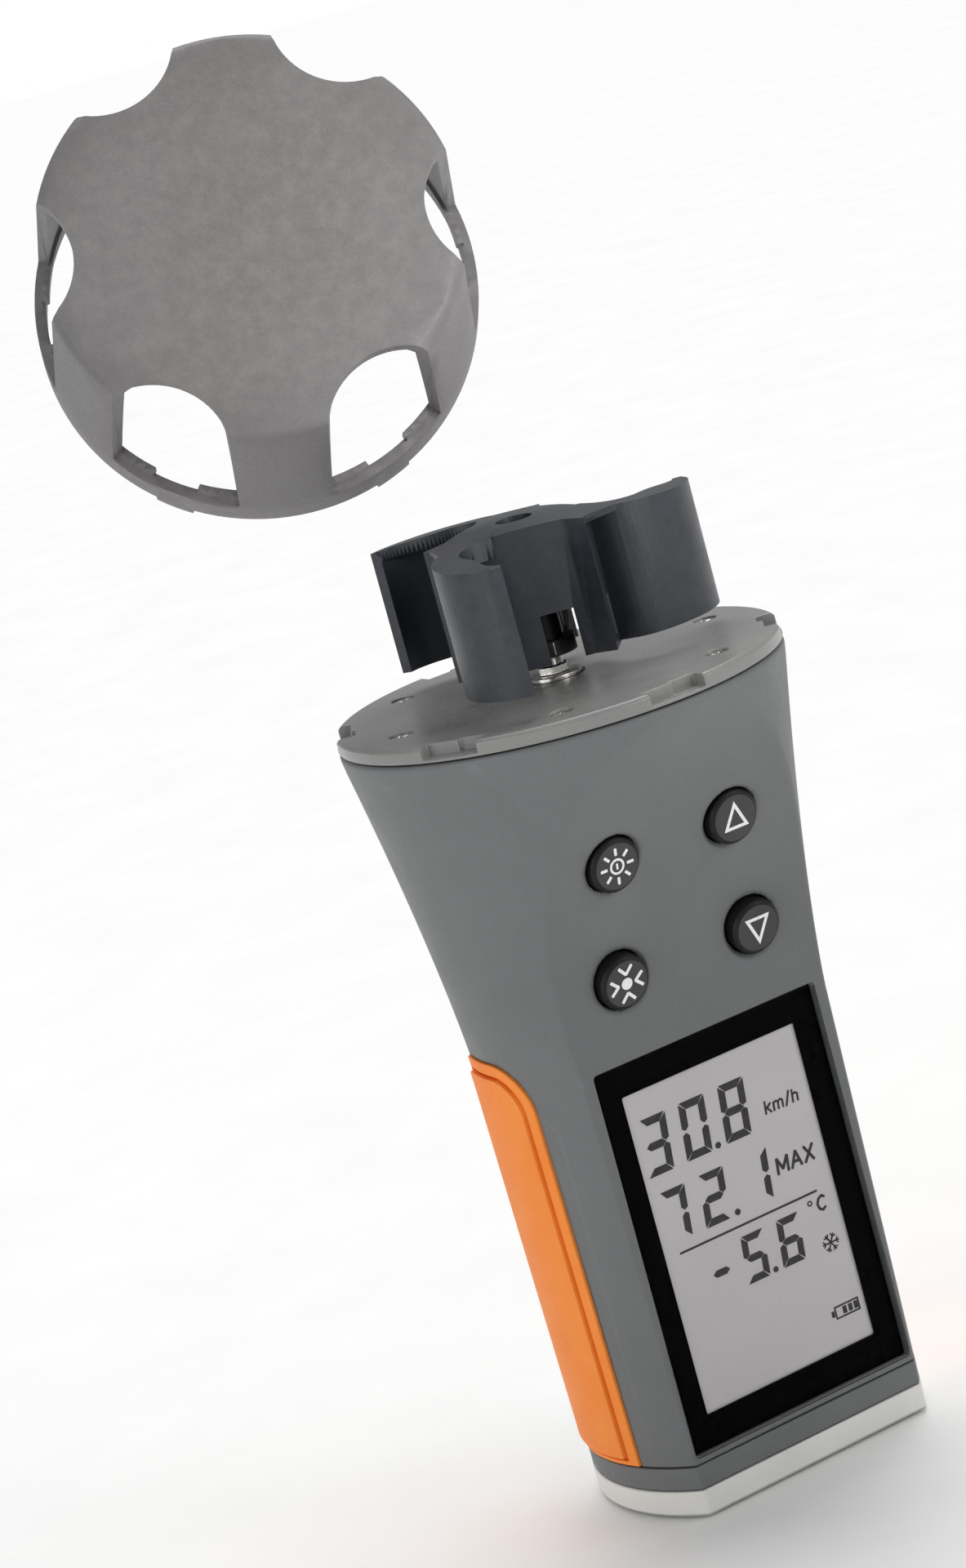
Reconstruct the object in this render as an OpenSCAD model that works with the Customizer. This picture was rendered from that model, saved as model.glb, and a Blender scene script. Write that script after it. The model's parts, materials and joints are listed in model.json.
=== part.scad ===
// Handheld electronic anemometer with a three-cup rotor and a lift-off
// protective cap. Origin: centre of the underside, at the mouth of the
// tripod socket. +Z runs up the body to the rotor, -Y is the display side.
// All dimensions are in millimetres.

/* [Body] */
// Height from the underside to the deck under the rotor
deck_h = 128; // [127:0.5:130]
// Radius of the body at its waist, above the display
waist_r = 27.9; // [27.6:0.1:28.2]
// Height at which the body starts to flare
waist_z = 70; // [68:1:72]
// Distance of the flat front from the axis
front_y = 16.4; // [16.2:0.1:16.6]
// Radius of the rim around the deck
rim_r = 35; // [34.9:0.1:35.2]
// Wall thickness of the case
wall = 2.2; // [2:0.1:2.4]

/* [Display] */
// Width of the display window with its black frame
lens_w = 41; // [40:0.5:41.5]
// Height of the display window with its black frame
lens_h = 62.4; // [60:0.2:62.6]
// Height of the display centre above the underside
lens_z = 40.8; // [40.6:0.1:41]
// Width of the visible grey display area
view_w = 32.4; // [30:0.2:33]
// Height of the visible grey display area
view_h = 52.2; // [50:0.2:53]

/* [Buttons] */
// Button radius at the case
button_r = 4.35; // [4.2:0.05:4.5]
// How far a button stands out of the case
button_out = 1.7; // [1.6:0.1:2.2]
// Travel of a button
button_travel = 0.8; // [0.6:0.1:0.8]
// Radius of the hole in the case for a button
button_hole_r = 4.7; // [4.65:0.05:4.9]

/* [Rotor] */
// Underside of the cups above the deck
cup_gap = 3.4; // [3:0.1:4]
// Height of a cup at the hub
cup_h = 21.6; // [20:0.2:22]
// Thickness of a cup wall
cup_wall = 1.6; // [1.5:0.1:1.8]
// Angle at which the rotor is parked
rotor_park = -28.7; // [-60:0.1:60]
// Radius of the steel spindle
spindle_r = 1; // [0.9:0.05:1.1]
// Radial running clearance of the bushes
bush_clear = 0.04; // [0.03:0.01:0.06]

/* [Cap] */
// Outer radius of the cap's ring
cap_ring_r = 34.2; // [34:0.1:34.4]
// Outer radius of the cap's lobes at the top
cap_top_r = 31.6; // [31.4:0.1:32]
// Height of the cap from the ring's underside
cap_h = 33; // [32:0.5:34]
// Wall thickness of the cap
cap_wall = 1.6; // [1.4:0.1:1.7]
// Radius of the round scallops between the lobes
scallop_r = 11.8; // [11:0.2:12]

/* [Base] */
// Height of the pale base cap
base_h = 4.4; // [4.2:0.1:4.6]
// Height of the grey collar above it
collar_h = 3.7; // [3.5:0.1:3.9]
// Bore radius of the threaded tripod insert
tripod_r = 3.25; // [3.2:0.05:3.3]

/* [Hidden] */
$fn = 96;

case_z0 = base_h + collar_h + 0.4;      // bottom edge of the case
plate_t = 2.4;                          // thickness of the deck plate
case_z1 = deck_h - plate_t - 0.25;      // top edge of the case
flare_p = 1.472;
flare_k = (rim_r - waist_r - 0.019 * (124 - waist_z)) / pow(124 - waist_z, flare_p);

// radius of the body of revolution at height z
function body_r(z) = min(rim_r, waist_r + 0.019 * (z - waist_z)
  + (z > waist_z ? flare_k * pow(z - waist_z, flare_p) : 0));
// distance of the front pad from the axis at height z
function pad_y(z) = front_y + (z > 72 ? 0.00226 * pow(z - 72, 2.28) : 0);
// heights at which the two profiles are sampled
function rise(z0, z1) = concat([z0, 40], [for (i = [0 : 13]) let (z = 70 + i * 4.2) if (z > z0 && z < z1) z], [z1]);

module half_profile(z0, z1, off) {
  zs = rise(z0, z1);
  polygon(concat([[0, z0]], [for (z = zs) [body_r(z) + off, z]], [[0, z1]]));
}
module turned(z0, z1, off) rotate_extrude() half_profile(z0, z1, off);

// everything behind the front pad surface, moved back by "back"
module pad_space(z0, z1, back, w = 80) {
  zs = rise(z0, z1);
  translate([-w / 2, 0, 0]) rotate([90, 0, 90]) linear_extrude(height = w)
    polygon(concat([[50, z0]], [for (z = zs) [-(pad_y(z) - back), z]], [[50, z1]]));
}
module slab(z0, z1, off, back) intersection() {
  translate([0, 0, z0]) cylinder(h = z1 - z0, r1 = body_r(z0) + off, r2 = body_r(z1) + off);
  translate([-50, -front_y + back, z0 - 1]) cube([100, 100, z1 - z0 + 2]);
}
module rrect(w, h, r) {
  square([w - 2 * r, h], center = true);
  square([w, h - 2 * r], center = true);
  for (x = [-1, 1], y = [-1, 1]) translate([x * (w / 2 - r), y * (h / 2 - r)]) circle(r = r, $fn = 48);
}
// plate standing in the XZ plane, from y0 back by t
module front_plate(w, h, r, y0, t, z) translate([0, y0 + t, z]) rotate([90, 0, 0]) linear_extrude(height = t) rrect(w, h, r);

// ---- frame of the keypad: local X across, local Y up, local Z outward
key_tilt = 14;
key_dz = 9.5;
module at_keys() translate([0, -19.35, 93.9]) rotate([90 + key_tilt, 0, 0]) children();
keys = [[-11.2, key_dz + 0.2], [10.5, key_dz + 0.2], [12.2, -key_dz], [-12.2, -key_dz]];
key_posts = [[0, 12.2], [0, -12.2]];

// ---- rotor plan, one cup, cup towards -Y
function clamped(pts, i) = pts[max(0, min(len(pts) - 1, i))];
function between(a, b, c, d, t) = 0.5 * (2 * b + (c - a) * t + (2 * a - 5 * b + 4 * c - d) * t * t + (3 * b - a - 3 * c + d) * t * t * t);
// smooth curve through the points, n steps from each to the next
function curve(pts, n) = concat(
  [for (i = [0 : len(pts) - 2]) for (j = [0 : n - 1]) between(clamped(pts, i - 1), pts[i], pts[i + 1], clamped(pts, i + 2), j / n)],
  [pts[len(pts) - 1]]);
outer_pts = curve([[-8.2, -7.3], [-11.6, -9.6], [-13.2, -12.2], [-13.6, -15.5], [-13.2, -19.2], [-11.9, -22.7], [-9.3, -25.9], [-6.4, -27.8], [-3.6, -28.5]], 4);
inner_pts = curve([[-3.6, -26.9], [-5.7, -26.3], [-8.1, -24.7], [-10.4, -21.9], [-11.6, -18.7], [-12, -15.5], [-11.7, -12.9], [-10.5, -10.8], [-6.9, -8.2]], 4);
web_pts = curve([[-3.6, -26.9], [-5.2, -25.6], [-6.2, -23.4], [-6.9, -20.4], [-8, -18], [-9, -16], [-9.2, -13.6], [-8.4, -11.6], [-6.6, -10.2], [-4, -9.4]], 4);
// thin roof between the hub's side and the root of each cup
roof_pts = [[-13.6, -3.7], [-12.2, -10.6], [-9.5, -10.2], [-7, -7]];
rotor_z0 = deck_h + cup_gap;
rotor_z1 = rotor_z0 + cup_h;
function turn(p, a) = [p[0] * cos(a) - p[1] * sin(a), p[0] * sin(a) + p[1] * cos(a)];
hub_out = [for (k = [0 : 2]) for (p = [[-7.4, -8.8], [6.8, -8.8], [10, -10.9]]) turn(p, 120 * k)];
hub_in = [for (k = [0 : 2]) for (p = [[-6.4, -7.2], [6.2, -7.2], [9.2, -9.3]]) turn(p, 120 * k)];

// ---- protective cap, stored off the body beside the rotor
cap_pos = [-14, 36.4, 191.4];
cap_tilt = 64.7;       // lean of the cap's axis from the body's axis
cap_turn = -112.5;     // compass direction in which the axis leans
cap_spin = -8.4;        // turn of the cap about its own axis
module at_cap() translate(cap_pos) rotate([0, 0, cap_turn]) rotate([0, cap_tilt, 0]) rotate([0, 0, cap_spin]) children();

module main_case() color("dimgray") difference() {
  union() {
    difference() {
      intersection() { turned(case_z0, case_z1, 0); pad_space(case_z0 - 1, case_z1 + 1, 0); }
      intersection() { turned(case_z0 - 0.5, case_z1 + 0.5, -wall); pad_space(case_z0 - 0.6, case_z1 + 1, wall); }
    }
    // thickened frame behind the display pocket
    difference() {
      front_plate(lens_w - 1, lens_h + 2, 1, -front_y + 1, 2.6, lens_z + 0.6);
      front_plate(view_w + 4, view_h + 4, 1, -front_y, 5, lens_z);
    }
    // posts behind the keypad
    at_keys() for (p = key_posts) translate([p[0], p[1], -7.9]) cylinder(h = 6.6, r = 2.4);
    // posts for the main board
    for (x = [-12, 12]) translate([x, -10, 76.4]) rotate([90, 0, 0]) cylinder(h = 5, r = 2.2);
  }
  // display pocket and window
  front_plate(lens_w + 0.4, lens_h + 0.4, 0.7, -front_y - 2, 3.75, lens_z);
  front_plate(view_w + 4, view_h + 4, 1, -front_y - 1, 6, lens_z);
  // button holes
  at_keys() for (p = keys) translate([p[0], p[1], -6]) cylinder(h = 14, r = button_hole_r);
  // pilot holes in the posts
  at_keys() for (p = key_posts) translate([p[0], p[1], -8.5]) cylinder(h = 5, r = 0.8);
  for (x = [-12, 12]) translate([x, -9.6, 76.4]) rotate([90, 0, 0]) cylinder(h = 4, r = 0.8);
  // recesses for the side grips
  for (m = [0, 1]) mirror([m, 0, 0]) grip_block(-1.15, 6, -0.2, case_z0 - 1);
}

// outline of a side grip in the YZ plane, drawn in by d, arched at the top
module grip_outline(d, z0) {
  y0 = -7.4 + d;
  y1 = 16.4 - d;
  z1 = 75 - d;
  r = 8 - d;
  translate([y0, z0]) square([y1 - y0, z1 - r - z0]);
  translate([y0 + r, z0]) square([y1 - y0 - 2 * r, z1 - z0]);
  for (y = [y0 + r, y1 - r]) translate([y, z1 - r]) circle(r = r, $fn = 64);
}
// layer between two offsets from the case's surface, inside that outline
module grip_block(off0, off1, d, z0) intersection() {
  difference() { turned(case_z0 - 3, 78, off1); turned(case_z0 - 4, 79, off0); }
  translate([-50, 0, 0]) rotate([90, 0, 90]) linear_extrude(height = 50) grip_outline(d, z0);
}
// low border, a groove inside it, and the raised panel
module side_grip() {
  difference() {
    grip_block(-0.95, 0.35, 0, case_z0 + 0.2);
    grip_block(-0.3, 6, 1.9, case_z0 + 0.9);
  }
  grip_block(-0.6, 0.8, 2.35, case_z0 + 1.35);
}
module side_grip_left() color("darkorange") side_grip();
module side_grip_right() color("darkorange") mirror([1, 0, 0]) side_grip();

module notch(a) rotate([0, 0, a]) translate([0, 0, deck_h]) {
  // shallow seat and the deeper bayonet pocket at its end
  translate([rim_r - 2.5, -4.8, -1.9]) cube([6, 9.6, 4]);
  translate([rim_r - 3.4, 0.6, -1.9]) cube([7, 4.2, 4]);
}
module head_plate() color("gray") difference() {
  union() {
    translate([0, 0, deck_h - plate_t]) cylinder(h = plate_t - 0.5, r = rim_r);
    translate([0, 0, deck_h - 0.5]) cylinder(h = 0.5, r1 = rim_r, r2 = rim_r - 0.5);
    // spigot that centres the plate in the case
    translate([0, 0, case_z1 - 4]) difference() {
      cylinder(h = 5, r = 30.6);
      translate([0, 0, -1]) cylinder(h = 7, r = 29);
    }
    // boss for the spindle and the pick-up coil
    translate([0, 0, deck_h - 12]) cylinder(h = 12, r = 4.4);
    // screw bosses
    for (a = [0 : 60 : 300]) rotate([0, 0, a]) translate([28, 0, case_z1 - 4]) cylinder(h = 5, r = 2.2);
  }
  for (a = [30 : 60 : 330]) notch(a);
  for (a = [0 : 60 : 300]) rotate([0, 0, a]) translate([28, 0, 0]) {
    translate([0, 0, deck_h - 1.3]) cylinder(h = 3, r = 1.9);
    translate([0, 0, deck_h - 8]) cylinder(h = 9, r = 1.05);
  }
  translate([0, 0, deck_h - 13]) cylinder(h = 20, r = spindle_r);
  // shallow seat for the spindle nut
  translate([0, 0, deck_h - 0.6]) cylinder(h = 2, r = 4.6);
}
module head_gasket() color("black") difference() {
  translate([0, 0, case_z1]) cylinder(h = 0.25, r = 34.2);
  translate([0, 0, case_z1 - 1]) cylinder(h = 3, r = 33);
}
module head_screws() color("silver") for (a = [0 : 60 : 300]) rotate([0, 0, a]) translate([28, 0, 0]) difference() {
  union() {
    translate([0, 0, deck_h - 1.3]) cylinder(h = 0.95, r = 1.75);
    translate([0, 0, deck_h - 7]) cylinder(h = 6, r = 1.03);
  }
  translate([0, 0, deck_h - 0.35]) for (b = [0, 90]) rotate([0, 0, b]) cube([2.1, 0.45, 0.9], center = true);
}

module display_lens() color("gainsboro") front_plate(lens_w, lens_h, 0.5, -front_y, 1.35, lens_z);
module lens_mask() color("black") difference() {
  front_plate(lens_w, lens_h, 0.5, -front_y + 1.35, 0.35, lens_z);
  front_plate(view_w, view_h, 0.4, -front_y, 5, lens_z);
}
module lcd_panel() color("silver") front_plate(view_w + 3, view_h + 3, 0.4, -front_y + 1.75, 2, lens_z);
module lcd_holder() color("whitesmoke") difference() {
  front_plate(view_w + 7, view_h + 9, 1, -front_y + 3.8, 2.6, lens_z);
  // light well behind the glass, and slots for the strips
  front_plate(view_w - 4, view_h - 8, 1, -front_y, 9, lens_z);
  for (s = [-1, 1]) translate([-view_w / 2 - 0.2, -front_y, lens_z + s * (view_h / 2 - 1) - 1.2]) cube([view_w + 0.4, 9, 2.4]);
}
module zebra_strips() color("black") for (s = [-1, 1])
  translate([-view_w / 2, -front_y + 3.75, lens_z + s * (view_h / 2 - 1) - 1]) cube([view_w, 2.65, 2]);

board_y = -front_y + 6.45;
module main_board() color("darkgreen") difference() {
  front_plate(36, 66, 1.5, board_y, 1.4, 45.6);
  for (x = [-12, 12]) translate([x, 0, 76.4]) rotate([90, 0, 0]) cylinder(h = 20, r = 1.1);
}
module board_components() color("black") {
  translate([-6, board_y + 1.4, 34]) cube([12, 1.4, 12]);
  translate([7, board_y + 1.4, 54]) cube([6, 1.2, 5]);
  translate([-14, board_y + 1.4, 56]) cube([5, 1, 8]);
  translate([-12, board_y + 1.4, 24]) cube([3, 1.1, 5]);
  translate([11, board_y + 3.1, 26]) cylinder(h = 7, r = 1.5);
  translate([-2, board_y + 1.4, 66]) cube([9, 3.2, 4]);
}
module board_screws() color("silver") {
  for (x = [-12, 12]) translate([x, board_y + 1.4, 76.4]) rotate([90, 0, 0]) difference() {
    union() { translate([0, 0, -1]) cylinder(h = 1, r = 1.7); cylinder(h = 4.4, r = 0.78); }
    translate([0, 0, -1]) cube([2, 0.4, 0.8], center = true);
  }
  at_keys() for (p = key_posts) translate([p[0], p[1], -9.1]) difference() {
    union() { translate([0, 0, -1]) cylinder(h = 1, r = 1.7); cylinder(h = 4.6, r = 0.78); }
    translate([0, 0, -1]) cube([2, 0.4, 0.8], center = true);
  }
}
module keypad_board() color("darkgreen") at_keys() translate([0, 0, -9.1]) difference() {
  linear_extrude(height = 1.2) rrect(35, 30, 2);
  for (p = key_posts) translate([p[0], p[1], -1]) cylinder(h = 4, r = 1.1);
}
module snap_domes() color("silver") at_keys() for (p = keys) translate([p[0], p[1], -7.9]) {
  cylinder(h = 0.15, r = 2.4);
  translate([0, 0, 0.15]) cylinder(h = 0.3, r1 = 2.2, r2 = 1.2);
}
module keypad_mat() color("darkslategray") at_keys() difference() {
  translate([0, 0, -7.9]) linear_extrude(height = 0.95) rrect(34, 29, 3);
  for (p = keys) translate([p[0], p[1], -8.5]) cylinder(h = 1.1, r = 2.8);
  for (p = key_posts) translate([p[0], p[1], -9]) cylinder(h = 4, r = 2.6);
}
module flex_ribbon() color("goldenrod") translate([-6, board_y + 1.4, 70.6]) {
  cube([12, 0.3, 9.6]);
  translate([0, 0, 9.4]) rotate([-18, 0, 0]) cube([12, 0.3, 0.6]);
}

module button_body() {
  translate([0, 0, -3.6]) cylinder(h = 3.6 + button_out - 0.5, r = button_r);
  translate([0, 0, button_out - 0.5]) cylinder(h = 0.5, r1 = button_r, r2 = button_r - 0.55);
  translate([0, 0, -4.4]) cylinder(h = 1, r = 5.3);
  translate([0, 0, -6]) cylinder(h = 1.8, r = 1.6);
}
module button_at(i) at_keys() translate([keys[i][0], keys[i][1], 0]) button_body();
module button_power() color("black") button_at(0);
module button_up() color("black") button_at(1);
module button_down() color("black") button_at(2);
module button_mode() color("black") button_at(3);

module sensor_coil() color("peru") difference() {
  translate([0, 0, deck_h - 11]) cylinder(h = 5, r = 8);
  translate([0, 0, deck_h - 12]) cylinder(h = 8, r = 4.4);
}

module battery_tray() color("black") difference() {
  translate([0, 8, case_z0 + 5.2]) cylinder(h = 6.4, r = 14);
  translate([0, 8, case_z0 + 6.6]) cylinder(h = 8, r = 12.4);
  translate([-3, -8, case_z0 + 6.6]) cube([6, 10, 8]);
}
module coin_cell() color("silver") translate([0, 8, case_z0 + 7.2]) {
  cylinder(h = 1, r = 11.2);
  translate([0, 0, 1]) cylinder(h = 3.2, r = 12.2);
}
module battery_contacts() color("gold") {
  translate([-2, 4, case_z0 + 6.6]) cube([4, 8, 0.55]);
  translate([-2, -6.2, case_z0 + 6.6]) cube([4, 1.6, 5.6]);
  translate([-2, -4.6, case_z0 + 11.5]) cube([4, 7, 0.4]);
}
screw_pts = [[-16, -10], [16, -10], [-16, 14], [16, 14]];
module bottom_collar() color("dimgray") difference() {
  union() {
    slab(base_h + 0.2, base_h + 0.2 + collar_h, 0, 0);
    // lip that enters the case
    difference() {
      slab(base_h + collar_h, case_z0 + 2.6, -wall - 0.15, wall + 0.15);
      slab(base_h + collar_h - 0.1, case_z0 + 4, -wall - 2, wall + 2.2);
      translate([-50, -59, case_z0 - 0.2]) cube([100, 50, 10]);
    }
    // boss for the tripod insert
    translate([0, 0, base_h + 1]) cylinder(h = case_z0 + 5.2 - base_h - 1, r = 8);
  }
  translate([0, 0, -1]) cylinder(h = 10, r = 4.7);
  for (p = screw_pts) translate([p[0], p[1], 0]) cylinder(h = 20, r = 1.05);
}
module tripod_insert() color("goldenrod") difference() {
  union() {
    cylinder(h = 8.9, r = 4.65);
    translate([0, 0, 1.2]) cylinder(h = 1.2, r = 5.8);
  }
  translate([0, 0, -1]) cylinder(h = 9, r = tripod_r);
}
module base_gasket() color("black") difference() {
  slab(base_h, base_h + 0.2, -0.6, 0.6);
  slab(base_h - 1, base_h + 1, -2.2, 2.2);
}
module base_cap() color("white") difference() {
  union() {
    slab(0.5, base_h, 0.15, -0.15);
    slab(0, 0.5, -0.35, 0.35);
  }
  slab(2.2, base_h + 1, -2, 2);
  translate([0, 0, -1]) cylinder(h = 10, r = 6);
  for (p = screw_pts) translate([p[0], p[1], -1]) { cylinder(h = 20, r = 1.15); cylinder(h = 2.2, r = 2); }
}
module collar_screws() color("silver") for (p = screw_pts) translate([p[0], p[1], 0]) difference() {
  union() { translate([0, 0, 0.4]) cylinder(h = 0.8, r = 1.8); translate([0, 0, 1.1]) cylinder(h = 6.9, r = 1.03); }
  translate([0, 0, 0.4]) cube([2, 0.45, 0.7], center = true);
}

module spindle() color("silver") {
  translate([0, 0, deck_h - 12]) cylinder(h = 12 + cup_gap + cup_h - 0.6, r = spindle_r);
}
module spindle_nut() color("silver") difference() {
  union() {
    translate([0, 0, deck_h - 0.6]) cylinder(h = 1.3, r = 4.3);
    translate([0, 0, deck_h + 0.7]) cylinder(h = 1.2, r = 2.6, $fn = 6);
    translate([0, 0, deck_h + 1.8]) cylinder(h = cup_gap - 1.7, r = 1.7);
  }
  translate([0, 0, deck_h - 1]) cylinder(h = 6, r = spindle_r);
}
module retaining_ring() color("silver") difference() {
  translate([0, 0, rotor_z1 - 2.2]) cylinder(h = 0.7, r = 2);
  translate([0, 0, rotor_z1 - 3]) cylinder(h = 3, r = spindle_r);
}

module rotor_plan_walls() for (k = [0 : 2]) rotate(120 * k) polygon(concat(outer_pts, inner_pts));
module rotor() color("slategray") rotate([0, 0, rotor_park]) difference() {
  intersection() {
    union() {
      // cup walls, full height
      translate([0, 0, rotor_z0]) linear_extrude(height = cup_h) rotor_plan_walls();
      // hub walls
      translate([0, 0, rotor_z0]) linear_extrude(height = cup_h) difference() { polygon(hub_out); polygon(hub_in); }
      // top web over the hub and along each cup
      translate([0, 0, rotor_z1 - 3.6]) linear_extrude(height = 3.6) {
        polygon(hub_out);
        for (k = [0 : 2]) rotate(120 * k) polygon(concat(outer_pts, web_pts, [[-4, -8]]));
      }
      translate([0, 0, rotor_z1 - 2]) linear_extrude(height = 2) for (k = [0 : 2]) rotate(120 * k) polygon(roof_pts);
    }
    // top falls slightly towards the tips
    translate([0, 0, rotor_z0 - 1]) rotate_extrude() polygon([[0, 0], [31, 0], [31, cup_h + 1 - 2.3], [4, cup_h + 1], [0, cup_h + 1]]);
  }
  // underside of the web
  translate([0, 0, rotor_z1 - 9]) rotate_extrude() polygon([[4.8, 0], [8.2, 0], [8.2, 6.6], [4.8, 6.9]]);
  // hole over the end of the spindle
  translate([0, 0, rotor_z0 - 1]) cylinder(h = cup_h + 3, r = 2.9);
  // window at the foot of each hub face, and the slot in each root
  for (k = [0 : 2]) rotate([0, 0, 120 * k]) {
    translate([0, -12, rotor_z0 - 1]) cube([5.2, 6, 8.6]);
    translate([-12, -8, rotor_z0 + 1.6]) cube([1.4, 4.7, 6.4]);
  }
}
module magnet_seats(g) for (a = [90, 270]) rotate([0, 0, a])
  translate([2.7 - g, -1 - g, rotor_z0 + 0.5 - g]) cube([1.6 + 2 * g, 2 + 2 * g, 1.9 + 2 * g]);
module hub_sleeve() color("black") rotate([0, 0, rotor_park]) difference() {
  union() {
    translate([0, 0, rotor_z0 + 0.2]) cylinder(h = cup_h - 2.6, r = 2.88);
    // magnet carrier at the foot
    translate([0, 0, rotor_z0 + 0.2]) cylinder(h = 2.4, r = 4.4);
  }
  translate([0, 0, rotor_z0 - 1]) cylinder(h = cup_h, r = 2);
  magnet_seats(0.02);
}
module bush(z, h) difference() {
  translate([0, 0, z]) cylinder(h = h, r = 2);
  translate([0, 0, z - 1]) cylinder(h = h + 2, r = spindle_r + bush_clear);
}
module lower_bush() color("goldenrod") bush(rotor_z0 + 0.2, 3);
module upper_bush() color("goldenrod") bush(rotor_z0 + cup_h - 5.4, 3);
module rotor_magnets() color("dimgray") rotate([0, 0, rotor_park]) magnet_seats(0);

module protective_cap() color("gray") at_cap() cap_shape();
module cap_shape() {
  difference() {
    union() {
      rotate_extrude() polygon([[0, 0], [cap_ring_r, 0], [cap_ring_r, 4.6], [cap_top_r + 0.5, cap_h - 2.2], [cap_top_r, cap_h - 1.0], [cap_top_r - 1.1, cap_h], [0, cap_h]]);
      // bayonet tabs under the ring
      for (a = [30 : 60 : 330]) rotate([0, 0, a]) intersection() {
        rotate([0, 0, 180]) difference() { translate([0, 0, -1.8]) cylinder(h = 2.2, r = cap_ring_r - 0.12); translate([0, 0, -3]) cylinder(h = 4, r = cap_ring_r - 1.45); }
        translate([20, -3, -3]) cube([20, 6, 4]);
      }
    }
    rotate_extrude() polygon([[0, -0.1], [cap_ring_r - cap_wall, -0.1], [cap_ring_r - cap_wall, 3.4], [cap_top_r - cap_wall + 0.4, cap_h - 3], [cap_top_r - cap_wall - 0.6, cap_h - 1.9], [0, cap_h - 1.9]]);
    for (a = [30 : 60 : 330]) rotate([0, 0, a]) translate([38, 0, 5.6]) cylinder(h = 40, r = scallop_r);
  }
  // inner lip, broken over each tab
  difference() {
    rotate_extrude() polygon([[cap_ring_r - cap_wall - 0.8, 4.8], [cap_ring_r - cap_wall + 0.4, 3.9], [cap_ring_r - cap_wall + 0.4, 6.6], [cap_ring_r - cap_wall - 0.8, 6.6]]);
    for (a = [30 : 60 : 330]) rotate([0, 0, a]) translate([25, -3.6, 3]) cube([15, 7.2, 5]);
  }
}

main_case();
head_plate();
head_gasket();
head_screws();
display_lens();
lens_mask();
lcd_panel();
lcd_holder();
zebra_strips();
main_board();
board_components();
flex_ribbon();
keypad_board();
keypad_mat();
snap_domes();
board_screws();
sensor_coil();
battery_tray();
coin_cell();
battery_contacts();
bottom_collar();
collar_screws();
base_cap();
base_gasket();
tripod_insert();
side_grip_left();
side_grip_right();
spindle();
spindle_nut();
retaining_ring();
rotor();
hub_sleeve();
lower_bush();
upper_bush();
rotor_magnets();
button_power();
button_up();
button_down();
button_mode();
protective_cap();
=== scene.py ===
import json
import math

import bmesh
import bpy
from mathutils import Matrix, Vector

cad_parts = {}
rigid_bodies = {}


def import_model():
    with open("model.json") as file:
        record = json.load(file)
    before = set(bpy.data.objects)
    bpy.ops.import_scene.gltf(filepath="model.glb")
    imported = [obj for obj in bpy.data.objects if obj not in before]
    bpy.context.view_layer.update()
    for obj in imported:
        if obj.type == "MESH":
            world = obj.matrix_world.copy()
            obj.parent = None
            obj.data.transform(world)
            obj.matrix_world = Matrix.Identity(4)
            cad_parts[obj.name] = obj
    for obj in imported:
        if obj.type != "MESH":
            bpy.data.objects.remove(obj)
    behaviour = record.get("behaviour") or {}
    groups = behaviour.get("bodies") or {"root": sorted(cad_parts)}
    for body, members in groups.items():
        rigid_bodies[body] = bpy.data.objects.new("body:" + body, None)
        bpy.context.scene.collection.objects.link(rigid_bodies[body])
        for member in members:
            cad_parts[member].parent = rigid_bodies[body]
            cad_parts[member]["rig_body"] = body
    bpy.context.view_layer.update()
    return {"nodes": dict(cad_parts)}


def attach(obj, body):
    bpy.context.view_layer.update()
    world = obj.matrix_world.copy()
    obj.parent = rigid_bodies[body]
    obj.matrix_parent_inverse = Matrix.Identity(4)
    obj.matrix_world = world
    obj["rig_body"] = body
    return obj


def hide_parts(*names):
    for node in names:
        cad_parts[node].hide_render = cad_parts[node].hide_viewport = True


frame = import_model()
nodes = frame["nodes"]
MM = 0.001
scene = bpy.context.scene
for m in list(bpy.data.materials):
    m.name = "row_" + m.name


# ---------------------------------------------------------------- materials
def lin(r, g, b):
    return tuple(
        (c / 255 / 12.92 if c <= 10 else ((c / 255 + 0.055) / 1.055) ** 2.4)
        for c in (r, g, b)
    ) + (1.0,)


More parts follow.
